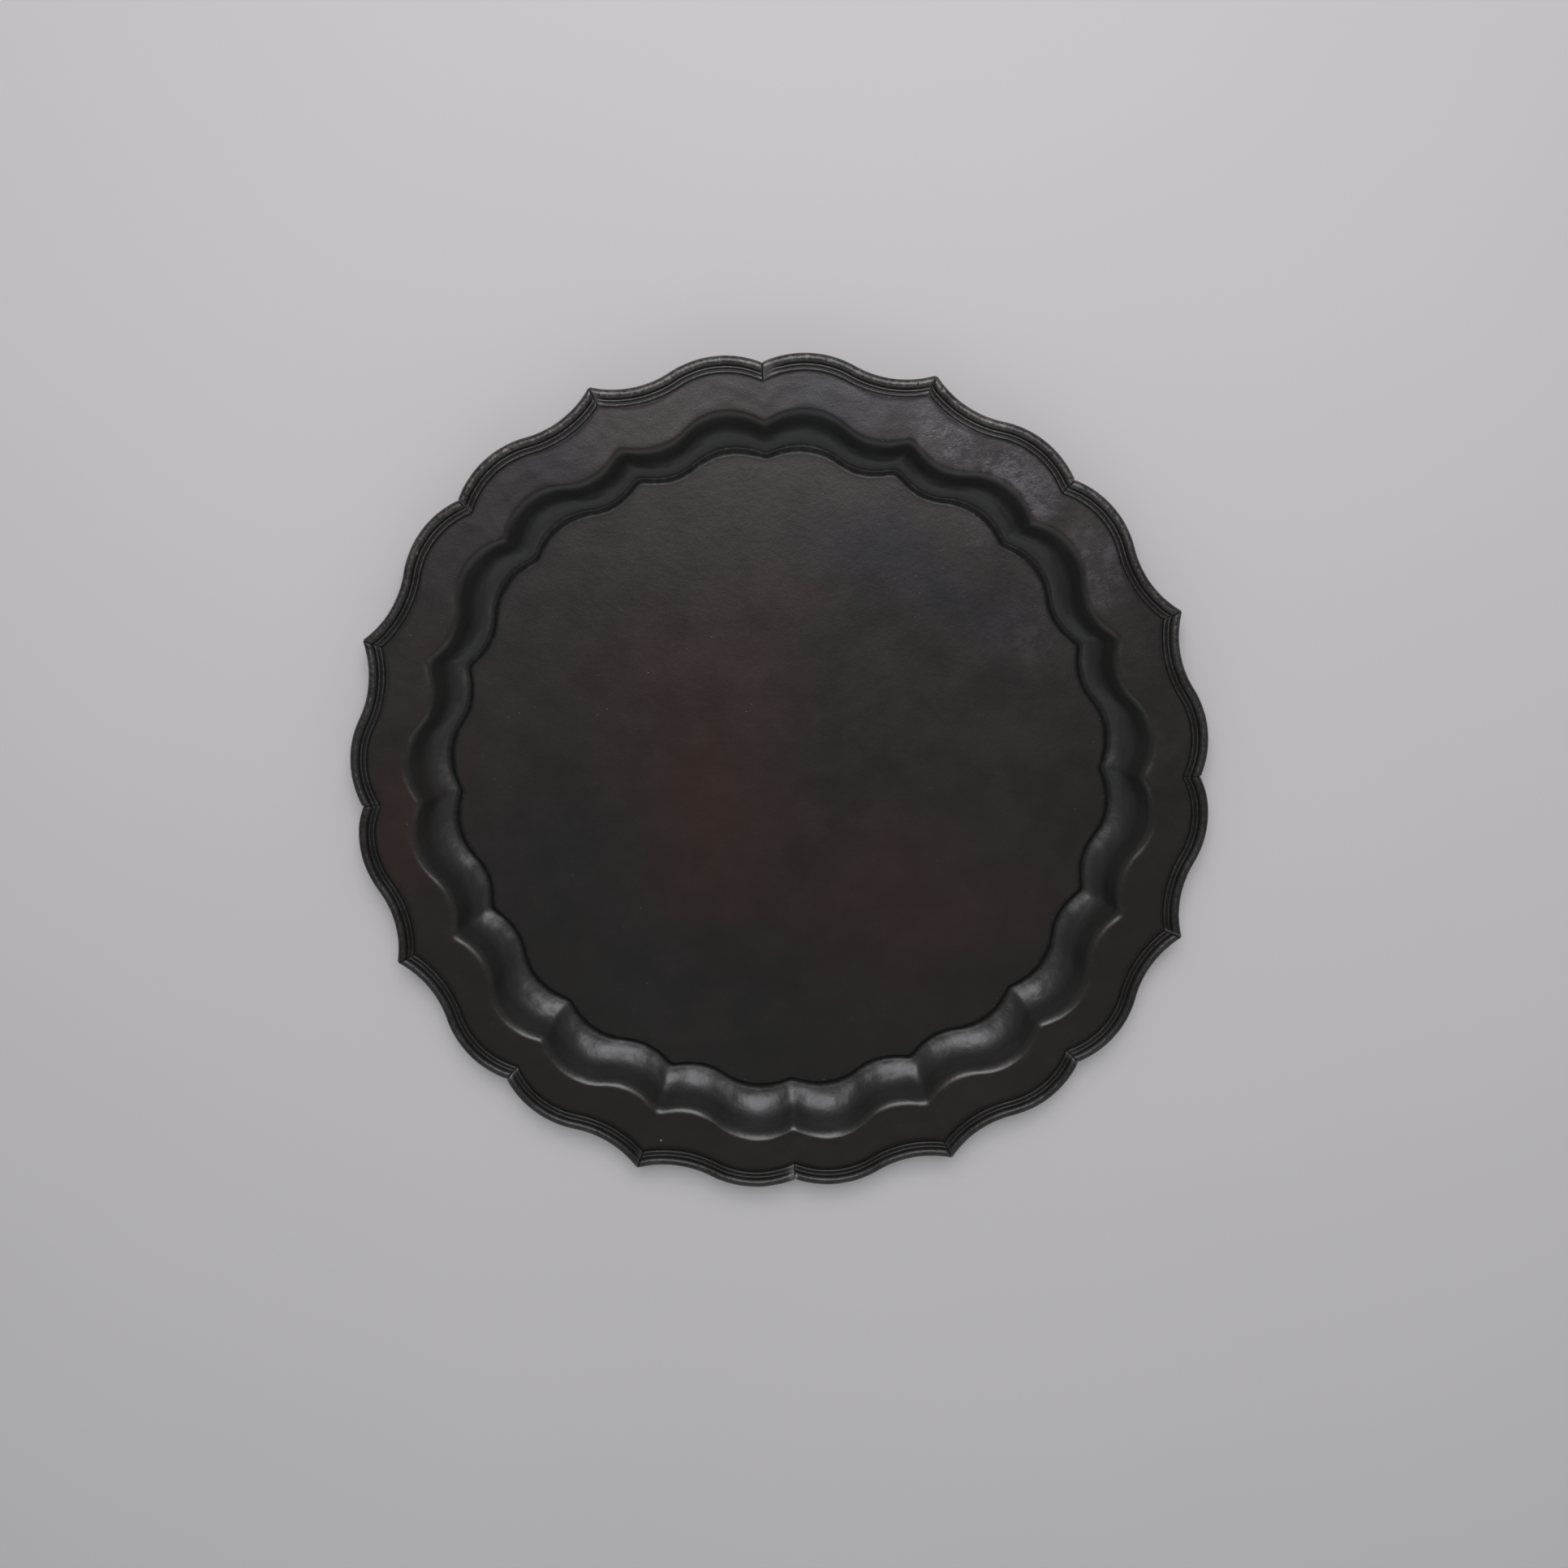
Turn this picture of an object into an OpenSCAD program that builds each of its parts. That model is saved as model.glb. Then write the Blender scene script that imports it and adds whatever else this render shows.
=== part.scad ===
// Hammered copper tray: one raised sheet with a flat floor, a fluted wall and a broad brim,
// and sixteen lengths of reeded moulding soldered along the edge of the brim.
// Millimetres, +Z up. The origin is under the middle of the tray, on the surface it rests on.
// Every outline of the tray repeats eight times. A notch points inward on +Y and every 45 degrees
// from there, a cusp points outward half way between two notches, and from notch to cusp the
// outline is a bulge and a hollow, two arcs that run smoothly into each other.

/* [Outline] */
// Distance from the middle of the tray to the tip of a cusp
cusp_r = 185; // [160:1:220]
// How far a notch of the rim lies inside the circle of its cusps
rim_notch_in = 6; // [5:0.5:7]
// How far the crest of a bulge lies inside the circle of the cusps
rim_crest_in = 2; // [1.5:0.5:2.5]
// Radius of the hollow arcs of the rim
rim_hollow_r = 44; // [40:1:48]
// Angle from a notch to the crest of the bulge beside it
crest_angle = 6.5; // [6:0.5:7]

/* [Brim and well] */
// Width of the brim, from the rim to the top of the wall
brim_w = 25.5; // [22:0.5:30]
// Width of the wall as seen from above
wall_w = 15.5; // [13:0.5:18]
// Width of the groove that is chased round the floor
groove_w = 3.8; // [3.5:0.1:4.5]
// Radius of the hollow arcs of the wall and the floor
well_hollow_r = 25; // [24:1:28]
// Thickness of the copper sheet
sheet_t = 1.2; // [1:0.1:1.4]
// How much lower the brim is at the top of the wall
brim_fall = 0.2; // [0:0.2:2]
// Steepest slope of the wall, in degrees. With the wall's width it sets the height of the brim
wall_slope = 64; // [50:1:66]
// Radius of the rounded edge between the brim and the wall
shoulder_r = 3; // [2:0.5:4]
// How far the floor stands above the bottom of its groove
floor_rise = 1.6; // [1:0.2:1.8]

/* [Moulding] */
// Width of the moulding
moulding_w = 7; // [6.5:0.5:7.5]
// Gap between two lengths of moulding at a mitre
mitre_gap = 0.1; // [0.05:0.05:0.3]

/* [Hidden] */
NAMES = [for (i = [1 : 16]) str("rim_moulding_", i < 10 ? "0" : "", i)];

half_angle = 22.5;          // from a notch to the next cusp
steps = 10;                 // facets of the sheet from a notch to the next cusp
shoulder_steps = 3;         // facets of its section round the shoulder
wall_steps = 5;             // facets of its section down the wall
arc_fn = 180;               // how finely the moulding's arcs are drawn
sheet_inset = 0.4;          // the sheet stops this far inside the moulding's outer edge
seat_w = 9;                 // the brim is level this far in, under the moulding
foot_slope = 18;            // slope of the wall where it runs into the groove
foot_lift = 0.21;           // how far that place stands above the bottom of the groove
groove_flat = 1.4;          // width of the level bottom of the groove, which the tray rests on
groove_lip = 0.9;           // from the wall's foot to that level bottom
moulding_colour = [0.27, 0.22, 0.19];
sheet_colour = [0.19, 0.16, 0.15];

// How far in from the rim the section's corners lie, measured along a cusp, and the floor's height
shoulder_s = brim_w;
foot_s = brim_w + wall_w;
floor_s = foot_s + groove_w;
floor_z = sheet_t + floor_rise;

// The flutes soften from the shoulder down to the floor: at each of these outlines the notches lie
// in from the circle of the cusps by the first distance, and the crests out from it by the second
shoulder_notch_in = 4.5;
shoulder_crest_out = 1.5;
foot_notch_in = 4;
foot_crest_out = 0.6;
floor_notch_in = 3.6;
floor_crest_out = 0.2;

// An outline: its radii at the notch, at the crest of the bulge and at the cusp, and its hollow's radius
function outline(cusp, notch_in, crest_out, hollow) = [cusp - notch_in, cusp + crest_out, cusp, hollow];

rim = outline(cusp_r, rim_notch_in, -rim_crest_in, rim_hollow_r);
shoulder = outline(cusp_r - shoulder_s, shoulder_notch_in, shoulder_crest_out, well_hollow_r);
foot = outline(cusp_r - foot_s, foot_notch_in, foot_crest_out, well_hollow_r);
floor_edge = outline(cusp_r - floor_s, floor_notch_in, floor_crest_out, well_hollow_r);

function towards(angle) = [sin(angle), cos(angle)]; // clockwise from +Y
function to_hundredths(x) = round(100 * x) / 100;

// The bulge's circle has its crest at crest_angle and passes through the notch
function bulge_r(o) =
    let (k = cos(crest_angle))
    to_hundredths((o[1] * o[1] + o[0] * o[0] - 2 * o[1] * o[0] * k) / (2 * (o[1] - o[0] * k)));
function bulge_centre(o) = (o[1] - bulge_r(o)) * towards(crest_angle);

// The hollow's circle touches the bulge's from outside and passes through the cusp
function hollow_centre(o) =
    let (
        start = bulge_centre(o),
        way = o[2] * towards(half_angle) - start,
        reach = bulge_r(o) + o[3],
        along = (way * way + reach * reach - o[3] * o[3]) / (2 * norm(way)),
        across = sqrt(reach * reach - along * along)
    )
    start + (along * way + across * [-way.y, way.x]) / norm(way);

// Polar angle of a point, clockwise from +Y, and the half of an outline that an angle falls in
function angle_of(p) = atan2(p.x, p.y);
function folded(angle) = let (a = angle % (2 * half_angle)) min(a, 2 * half_angle - a);

// Distance from the middle to an outline, for an angle from 0 at the notch to half_angle at the cusp
function radius_at(o, a) =
    let (
        b = bulge_centre(o),
        h = hollow_centre(o),
        turn = b + (h - b) * bulge_r(o) / (bulge_r(o) + o[3]),
        on_bulge = a < angle_of(turn),
        c = on_bulge ? b : h,
        r = on_bulge ? bulge_r(o) : o[3],
        off = a - angle_of(c),
        chord = sqrt(r * r - pow(norm(c) * sin(off), 2))
    )
    norm(c) * cos(off) + (on_bulge ? chord : -chord);

// The sheet's section, from the rim inward to the floor: a level seat, the sloping brim, the rounded
// shoulder, the hollow wall and the groove. Each point is a distance in from the rim and a height
brim_slope = atan(brim_fall / (shoulder_s - seat_w));
round_s = shoulder_s - shoulder_r * (sin(wall_slope / 2) - sin(brim_slope));
wall_s = round_s + shoulder_r * (sin(wall_slope) - sin(brim_slope));
wall_r = (foot_s - wall_s) / (sin(wall_slope) - sin(foot_slope));
wall_z = sheet_t + foot_lift + wall_r * (cos(foot_slope) - cos(wall_slope));
round_z = wall_z + shoulder_r * (cos(brim_slope) - cos(wall_slope));
seat_z = to_hundredths(round_z + (round_s - seat_w) * tan(brim_slope));

top_line = concat(
    [[0, seat_z], [seat_w, seat_z]],
    [for (i = [0 : shoulder_steps])
        let (slope = brim_slope + (wall_slope - brim_slope) * i / shoulder_steps)
        [round_s + shoulder_r * (sin(slope) - sin(brim_slope)),
         round_z - shoulder_r * (cos(brim_slope) - cos(slope))]],
    [for (i = [1 : wall_steps])
        let (slope = wall_slope + (foot_slope - wall_slope) * i / wall_steps)
        [wall_s + wall_r * (sin(wall_slope) - sin(slope)),
         wall_z - wall_r * (cos(slope) - cos(wall_slope))]],
    [[foot_s + groove_lip, sheet_t],
     [foot_s + groove_lip + groove_flat, sheet_t],
     [floor_s, floor_z]]
);

// The underside lies one sheet thickness below the top line, measured square to it
level = [0, 1];
function square_to(a, b) = let (d = (b - a) / norm(b - a)) [-d.y, d.x];
function below(line, i) =
    let (
        before = i == 0 ? level : square_to(line[i - 1], line[i]),
        after = i == len(line) - 1 ? level : square_to(line[i], line[i + 1])
    )
    line[i] - sheet_t * (before + after) / (1 + before * after);
under_line = [for (i = [len(top_line) - 1 : -1 : 0]) below(top_line, i)];
section = concat(top_line, under_line);

// Distance from the middle of the tray, at a folded angle and a distance in from the rim
function sheet_radius(s, a) =
    let (
        rim_r = radius_at(rim, a) - sheet_inset,
        shoulder_at = radius_at(shoulder, a),
        foot_at = radius_at(foot, a),
        floor_at = radius_at(floor_edge, a)
    )
    s < shoulder_s ? rim_r + (shoulder_at - rim_r) * s / shoulder_s :
    s < foot_s ? shoulder_at + (foot_at - shoulder_at) * (s - shoulder_s) / wall_w :
    s < floor_s ? foot_at + (floor_at - foot_at) * (s - foot_s) / groove_w :
    floor_at - (s - floor_s);

spokes = 16 * steps;
function spoke_angle(i) = i * half_angle / steps;

// Floor, wall and brim are one sheet, raised from a round blank: strips of facets from spoke to
// spoke round the section, and a fan of facets on each side of the floor
module tray_sheet() {
    count = len(section);
    lip = len(top_line) - 1;    // where the section reaches the floor
    points = concat(
        [for (i = [0 : spokes - 1], p = section)
            let (xy = sheet_radius(p.x, folded(spoke_angle(i))) * towards(spoke_angle(i)))
            [xy.x, xy.y, p.y]],
        [[0, 0, floor_z], [0, 0, floor_z - sheet_t]]
    );
    top_middle = spokes * count;
    under_middle = top_middle + 1;
    faces = [for (i = [0 : spokes - 1], j = [0 : count - 1])
        let (
            a = i * count + j,
            b = i * count + (j + 1) % count,
            c = ((i + 1) % spokes) * count + (j + 1) % count,
            d = ((i + 1) % spokes) * count + j
        )
        each j == lip ? [[a, d, top_middle], [under_middle, c, b]] : [[a, c, b], [a, d, c]]];
    color(sheet_colour) intersection() {
        polyhedron(points, faces);
        cylinder(h = 3 * seat_z, r = cusp_r, center = true, $fn = 2 * arc_fn);
    }
}

// The moulding's three reeds, as shares of its width: each one's distance in from the outer edge,
// the height of its centre and its radius
outer_reed = moulding_w * [0.28, 0.206, 0.28];
middle_reed = moulding_w * [0.65, 0.193, 0.107];
inner_reed = moulding_w * [0.872, 0.114, 0.128];
reeds = [outer_reed, middle_reed, inner_reed];
undercut = 0.25;            // how far the flat back stands in from the reeds at either edge

// A length's section: x runs in from the outer edge, and y up from the brim
module moulding_section() {
    back = moulding_w - undercut;
    for (reed = reeds) translate([reed.x, reed.y]) circle(reed.z, $fn = 48);
    polygon(concat(
        [[back, inner_reed.y], [back, 0], [undercut, 0], [undercut, outer_reed.y]],
        [for (reed = reeds) [reed.x, reed.y]]
    ));
}

// One length, from the notch on +Y clockwise to the next cusp, cut at both mitres
module rim_length() {
    spare = 8;              // the arcs run this many degrees past the mitres before they are cut
    b = bulge_centre(rim);
    h = hollow_centre(rim);
    to_hollow = atan2(h.y - b.y, h.x - b.x);
    to_notch = atan2(rim[0] - b.y, -b.x);
    tip = cusp_r * towards(half_angle);
    to_tip = atan2(tip.y - h.y, tip.x - h.x);
    inset = atan(mitre_gap / 2 / cusp_r);
    clear = cusp_r + moulding_w;    // the cutting wedge reaches past the rim
    color(moulding_colour) translate([0, 0, seat_z]) intersection() {
        translate(b) rotate(to_hollow) union() {
            rotate_extrude(angle = to_notch - to_hollow + spare, $fn = arc_fn)
                translate([bulge_r(rim), 0]) mirror([1, 0]) moulding_section();
            translate([bulge_r(rim) + rim[3], 0]) rotate(180)
                rotate_extrude(angle = to_tip - to_hollow + 180 + spare, $fn = arc_fn)
                    translate([rim[3], 0]) moulding_section();
        }
        translate([0, 0, -1]) linear_extrude(moulding_w)
            polygon([[0, 0], clear * towards(inset), clear * towards(half_angle - inset)]);
    }
}

// The lengths go round clockwise from +Y, and every second one is the mirror image of the first
module rim_moulding(i) {
    if (i % 2 == 1) rotate(-(i - 1) * half_angle) rim_length();
    else rotate(-i * half_angle) mirror([1, 0, 0]) rim_length();
}

tray_sheet();
for (i = [1 : 16]) rim_moulding(i);
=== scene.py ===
"""Hammered copper tray with a dark brown patina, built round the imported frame.

The sheet and each length of its rim moulding are rebuilt as finer meshes that stand for their CAD
nodes: the same outlines and nearly the same section, with hammer marks, worn edges, a chased groove
and filed mitres. Angles run clockwise from +Y, seen from above. Lengths are in metres.
"""

from math import atan, atan2, cos, hypot, pi, radians, sin, sqrt, tan

import bpy
import numpy as np
from mathutils import Matrix, Vector


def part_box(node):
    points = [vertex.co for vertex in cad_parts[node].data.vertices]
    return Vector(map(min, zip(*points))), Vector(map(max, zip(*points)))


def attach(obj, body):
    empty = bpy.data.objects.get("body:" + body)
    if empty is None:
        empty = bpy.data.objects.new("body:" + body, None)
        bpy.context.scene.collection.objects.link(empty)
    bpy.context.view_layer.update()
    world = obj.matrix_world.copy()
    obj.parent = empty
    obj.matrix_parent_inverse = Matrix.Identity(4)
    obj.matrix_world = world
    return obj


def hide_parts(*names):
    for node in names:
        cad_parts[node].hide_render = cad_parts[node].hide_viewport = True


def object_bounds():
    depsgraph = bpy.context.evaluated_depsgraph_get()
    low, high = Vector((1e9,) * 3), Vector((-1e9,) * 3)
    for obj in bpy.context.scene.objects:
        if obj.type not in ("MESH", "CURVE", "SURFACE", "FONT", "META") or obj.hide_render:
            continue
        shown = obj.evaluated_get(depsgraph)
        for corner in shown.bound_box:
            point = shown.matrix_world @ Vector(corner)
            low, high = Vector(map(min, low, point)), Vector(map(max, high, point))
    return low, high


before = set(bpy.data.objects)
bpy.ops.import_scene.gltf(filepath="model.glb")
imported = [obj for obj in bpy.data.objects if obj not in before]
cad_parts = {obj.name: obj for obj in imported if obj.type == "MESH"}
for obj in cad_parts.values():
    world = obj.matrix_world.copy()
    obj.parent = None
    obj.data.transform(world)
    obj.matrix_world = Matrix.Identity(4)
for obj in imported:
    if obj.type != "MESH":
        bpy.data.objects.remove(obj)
cad_low, cad_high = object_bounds()

MM = 0.001

# ---- Sizes ----

# Read from the frame: the names of the lengths of moulding, the heights of their top and of the
# brim they lie on, and the distance of a cusp from the middle
LENGTHS = sorted(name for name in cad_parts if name.startswith("rim_moulding"))
RIM_TOP = cad_high.z
SEAT_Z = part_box("tray_sheet")[1].z
CUSP_R = max(v.co.xy.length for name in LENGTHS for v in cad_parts[name].data.vertices)

# The same as in the CAD model
HALF_LOBE = radians(22.5)
CREST_ANGLE = radians(6.5)
BRIM_W = 25.5 * MM
WALL_W = 15.5 * MM
GROOVE_W = 3.8 * MM
SHEET_T = 1.2 * MM
FLOOR_RISE = 1.6 * MM
SEAT_W = 9 * MM
SHEET_INSET = 0.4 * MM
BRIM_FALL = 0.2 * MM
FOOT_LIFT = 0.21 * MM
MOULDING_W = 7 * MM

# Softer than in the CAD model, or not in it
WALL_SLOPE = radians(57)
FOOT_SLOPE = radians(10)
SHOULDER_R = 5.4 * MM
RIM_EDGE = 0.35 * MM
BURR = 0.03 * MM

# How far in from the rim the wall and the groove end, and the height of the floor
FOOT_S = BRIM_W + WALL_W
FLOOR_S = FOOT_S + GROOVE_W
FLOOR_Z = SHEET_T + FLOOR_RISE


def towards(angle):
    """Unit vector at an angle clockwise from +Y."""
    return np.array([sin(angle), cos(angle)])


def smoothstep(low, high, x):
    t = np.clip((x - low) / (high - low), 0, 1)
    return t * t * (3 - 2 * t)


def fade(x, end):
    """1 where x is 0, falling to 0 at end."""
    return 1 - smoothstep(0, end, x)


def bell(x, centre, width):
    return np.exp(-(((x - centre) / width) ** 2))


class Outline:
    """Eight lobes: from each notch to the next cusp, a bulge and a hollow that touch each other.
    The cusps are on a circle of radius cusp, the notches lie notch_in inside it and the crests
    crest_out outside it, and hollow is the radius of the hollow."""

    def __init__(self, cusp, notch_in, crest_out, hollow):
        notch, crest = cusp - notch_in, cusp + crest_out
        k = cos(CREST_ANGLE)
        self.bulge_r = (crest**2 + notch**2 - 2 * crest * notch * k) / (2 * (crest - notch * k))
        self.hollow_r = hollow
        self.bulge_centre = (crest - self.bulge_r) * towards(CREST_ANGLE)
        way = cusp * towards(HALF_LOBE) - self.bulge_centre
        reach = self.bulge_r + hollow
        along = (way @ way + reach**2 - hollow**2) / (2 * hypot(*way))
        across = sqrt(reach**2 - along**2)
        square = np.array([-way[1], way[0]])
        self.hollow_centre = self.bulge_centre + (along * way + across * square) / hypot(*way)
        turn = self.bulge_centre + (self.hollow_centre - self.bulge_centre) * self.bulge_r / reach
        self.turn_angle = atan2(turn[0], turn[1])

    def radius(self, folded):
        """Distance from the middle, for an angle from 0 at a notch to HALF_LOBE at a cusp."""
        found = []
        for centre, r, side in (
            (self.bulge_centre, self.bulge_r, 1),
            (self.hollow_centre, self.hollow_r, -1),
        ):
            off = folded - atan2(centre[0], centre[1])
            away = hypot(*centre)
            found.append(away * np.cos(off) + side * np.sqrt(r**2 - (away * np.sin(off)) ** 2))
        return np.where(folded < self.turn_angle, found[0], found[1])


RIM_HOLLOW_R = 44 * MM
WELL_HOLLOW_R = 25 * MM
RIM = Outline(CUSP_R, 6 * MM, -2 * MM, RIM_HOLLOW_R)
SHOULDER = Outline(CUSP_R - BRIM_W, 4.5 * MM, 1.5 * MM, WELL_HOLLOW_R)
FOOT = Outline(CUSP_R - FOOT_S, 4 * MM, 0.6 * MM, WELL_HOLLOW_R)
FLOOR = Outline(CUSP_R - FLOOR_S, 3.6 * MM, 0.2 * MM, WELL_HOLLOW_R)


def folded(angle, notch_soft=0.0, cusp_soft=0.0):
    """Angle from the nearest notch. The soft angles round off the corners at notches and cusps."""
    a = np.abs((angle + HALF_LOBE) % (2 * HALF_LOBE) - HALF_LOBE)
    a = np.sqrt(a**2 + notch_soft**2)
    b = np.sqrt(np.maximum(HALF_LOBE - a, 0) ** 2 + cusp_soft**2)
    return HALF_LOBE - b


# ---- What the hammer and the hand leave: slightly out of round, wavy, dented ----

# How far each slow wave pushes the whole outline out, how many crests it has and where one lies
OUT_OF_ROUND = ((0.95 * MM, 2, radians(-58)), (0.35 * MM, 3, radians(-45)), (0.5 * MM, 4, radians(32)))

# How far the well was raised off the centre of the sheet, toward +Y, and how much wider it came out
WELL_SHIFT = 2.0 * MM
WELL_WIDER = 0.7 * MM

# The shoulder came out this far inside its drawn line, by the second figure more at +Y and less
# at -Y. It and the edge of the floor wander by about the other two
SHOULDER_IN, SHOULDER_TILT = 1.2 * MM, 0.4 * MM
SHOULDER_WANDER, FLOOR_WANDER = 0.22 * MM, 0.12 * MM
# How much the corners of the well are rounded off at its notches and cusps
NOTCH_SOFT, CUSP_SOFT = radians(0.55), radians(0.75)


def out_of_round(x, y):
    """Moves points outward or inward with the slow waves, in proportion to their radius."""
    angle, r = np.arctan2(x, y), np.hypot(x, y)
    push = sum(size * np.cos(count * (angle - at)) for size, count, at in OUT_OF_ROUND)
    grown = 1 + push / CUSP_R
    return x * grown, y * grown


def wander(angle, seed, slowest=5, fastest=40):
    """A line that wanders between about -2 and 2 as the angle goes once round, made of waves with
    from slowest to fastest crests a turn."""
    rng = np.random.default_rng(seed)
    total = np.zeros_like(angle)
    for k in range(slowest, fastest):
        total += rng.normal() / sqrt(k) * np.cos(k * angle + rng.uniform(0, 2 * pi))
    return total / sqrt(sum(1 / k for k in range(slowest, fastest)))


# Rows of hammer marks before the pattern repeats
MARK_ROWS = 256


def hammer_marks(u, v, size, bow, seed, turn=0.0):
    """Height of a planished surface: dishes of about this size, printed by a hammer face of radius
    bow, and deepest where a blow fell. Where turn is given, the pattern repeats along u after it."""
    rng = np.random.default_rng(seed)
    columns = round(turn / size) if turn else MARK_ROWS
    wide = turn / columns if turn else size
    shift = rng.uniform(0.15, 0.85, (columns, MARK_ROWS, 2))
    blow = rng.uniform(-0.25, 0.25, (columns, MARK_ROWS))
    i, j = np.floor(u / wide).astype(int), np.floor(v / size).astype(int)
    nearest = np.full(u.shape, np.inf)
    for di in (-1, 0, 1):
        for dj in (-1, 0, 1):
            a, b = (i + di) % columns, (j + dj) % MARK_ROWS
            du = u - (i + di + shift[a, b, 0]) * wide
            dv = v - (j + dj + shift[a, b, 1]) * size
            nearest = np.minimum(nearest, du**2 + dv**2 + blow[a, b] * size**2)
    return nearest / (2 * bow)


# ---- The sheet ----

SPOKES_PER_HALF_LOBE = 32
FLOOR_RINGS = 44
UNDER_FLOOR_RINGS = 16
# Where the rings just inside the floor's edge lie, and where the even ones start and the burr has
# run out, all as shares of the way to the middle
EDGE_SHARES = (0.0006, 0.0025, 0.006, 0.011, 0.018)
EVEN_SHARE = 0.027
BURR_SHARE = 0.016


def spoke_angles():
    """Angles round the tray, closer together at the notches and cusps."""
    even = np.arange(SPOKES_PER_HALF_LOBE) / SPOKES_PER_HALF_LOBE
    eased = 0.45 * even + 0.55 * (1 - np.cos(pi * even)) / 2
    half_lobes = round(2 * pi / HALF_LOBE)
    return np.concatenate([(k + eased) * HALF_LOBE for k in range(half_lobes)])


def top_section():
    """Points of the upper surface from the rim to the edge of the floor: how far in, how high."""
    fall = atan(BRIM_FALL / (BRIM_W - SEAT_W))
    round_s = BRIM_W - SHOULDER_R * (sin(WALL_SLOPE / 2) - sin(fall))
    round_z = SEAT_Z - (round_s - SEAT_W) * tan(fall)
    wall_s = round_s + SHOULDER_R * (sin(WALL_SLOPE) - sin(fall))
    wall_z = round_z - SHOULDER_R * (cos(fall) - cos(WALL_SLOPE))
    # The wall is straight at first and then an arc, which ends where the CAD model's wall ends
    drop = wall_z - SHEET_T - FOOT_LIFT
    across, down = sin(WALL_SLOPE) - sin(FOOT_SLOPE), cos(FOOT_SLOPE) - cos(WALL_SLOPE)
    wall_r = (tan(WALL_SLOPE) * (FOOT_S - wall_s) - drop) / (tan(WALL_SLOPE) * across - down)
    straight = FOOT_S - wall_s - wall_r * across
    edge = RIM_EDGE
    points = [(0, SEAT_Z - edge), (0.3 * edge, SEAT_Z - 0.3 * edge), (edge, SEAT_Z)]
    points += [(s, SEAT_Z) for s in np.linspace(edge, SEAT_W, 7)[1:]]
    brim_steps = np.linspace(SEAT_W, round_s, 12)[1:-1]
    points += [(s, SEAT_Z - (s - SEAT_W) * tan(fall)) for s in brim_steps]
    for slope in np.linspace(fall, WALL_SLOPE, 11):
        points.append((round_s + SHOULDER_R * (sin(slope) - sin(fall)),
                       round_z - SHOULDER_R * (cos(fall) - cos(slope))))
    wall_s, wall_z = wall_s + straight, wall_z - straight * tan(WALL_SLOPE)
    for slope in np.linspace(WALL_SLOPE, FOOT_SLOPE, 22):
        points.append((wall_s + wall_r * (sin(WALL_SLOPE) - sin(slope)),
                       wall_z - wall_r * (cos(slope) - cos(WALL_SLOPE))))
    points += groove_points(points[-1][1])
    return np.array(points)


def groove_points(foot_z):
    """The chased groove: the wall runs down into its round bottom, and its other side climbs
    steeply to the floor, where the tool has pushed up a slight burr."""
    bottom, burr = SHEET_T - 0.25 * MM, FLOOR_Z + BURR
    points = [(0.10, foot_z - 0.10 * MM), (0.20, foot_z - 0.26 * MM), (0.30, bottom + 0.10 * MM)]
    points += [(0.40, bottom), (0.50, bottom + 0.10 * MM), (0.60, bottom + 0.45 * MM)]
    points += [(0.74, bottom + 1.05 * MM), (0.89, FLOOR_Z - 0.36 * MM)]
    points += [(0.955, FLOOR_Z - 0.05 * MM), (0.985, burr)]
    return [(FOOT_S + share * GROOVE_W, z) for share, z in points] + [(FLOOR_S, burr)]


def sheet_radius(s, angle):
    """Distance from the middle, at a distance in from the rim and an angle."""
    corner = folded(angle, NOTCH_SOFT, CUSP_SOFT)
    rim, shoulder = RIM.radius(folded(angle)) - SHEET_INSET, SHOULDER.radius(corner)
    foot, floor = FOOT.radius(corner) + WELL_WIDER, FLOOR.radius(corner) + WELL_WIDER
    shoulder = shoulder - SHOULDER_IN - SHOULDER_TILT * np.cos(angle)
    shoulder = shoulder + SHOULDER_WANDER * wander(angle, seed=11)
    floor = floor + FLOOR_WANDER * wander(angle, seed=12, slowest=8, fastest=60)
    if s <= BRIM_W:
        return rim + (shoulder - rim) * s / BRIM_W
    if s <= FOOT_S:
        return shoulder + (foot - shoulder) * (s - BRIM_W) / WALL_W
    return foot + (floor - foot) * (s - FOOT_S) / GROOVE_W


def offset_below(line):
    """The section of the underside, one sheet thickness from the upper one and square to it."""
    step = np.gradient(line, axis=0)
    step /= np.hypot(step[:, 0], step[:, 1])[:, None]
    square = np.stack([step[:, 1], -step[:, 0]], 1)
    return line + SHEET_T * square


def sheet_heights(x, y, s, angle, floor_share):
    """What hammering adds to the height of the sheet at each point. The marks are boldest on the
    lower half of the wall. A shift of whole metres only picks another part of their pattern."""
    mid = CUSP_R - BRIM_W / 2
    around = angle % (2 * pi)
    brim = hammer_marks(around * mid, s, size=7 * MM, bow=220 * MM, seed=21, turn=2 * pi * mid)
    brim = brim * (1 + 3.6 * bell(s, (BRIM_W + FOOT_S) / 2 + 3 * MM, 4.5 * MM))
    floor = hammer_marks(x + 1, y + 1, size=9 * MM, bow=900 * MM, seed=22)
    waves = 0.16 * MM * wander(angle, seed=23, slowest=2, fastest=9) * smoothstep(FOOT_S, 0, s)
    sag = 0.12 * MM * np.cos(x / (31 * MM) + 1.3) * np.cos(y / (43 * MM) - 0.4)
    floor = floor + sag * smoothstep(0, 0.12, floor_share)
    return np.where(floor_share > 0, floor, brim + waves)


def strip_faces(rows, count):
    """Quads between rows of count points each, closed round the tray."""
    a = np.arange(rows - 1)[:, None] * count + np.arange(count)
    b = np.arange(rows - 1)[:, None] * count + (np.arange(count) + 1) % count
    return np.stack([a, b, b + count, a + count], -1).reshape(-1, 4).tolist()


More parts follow.
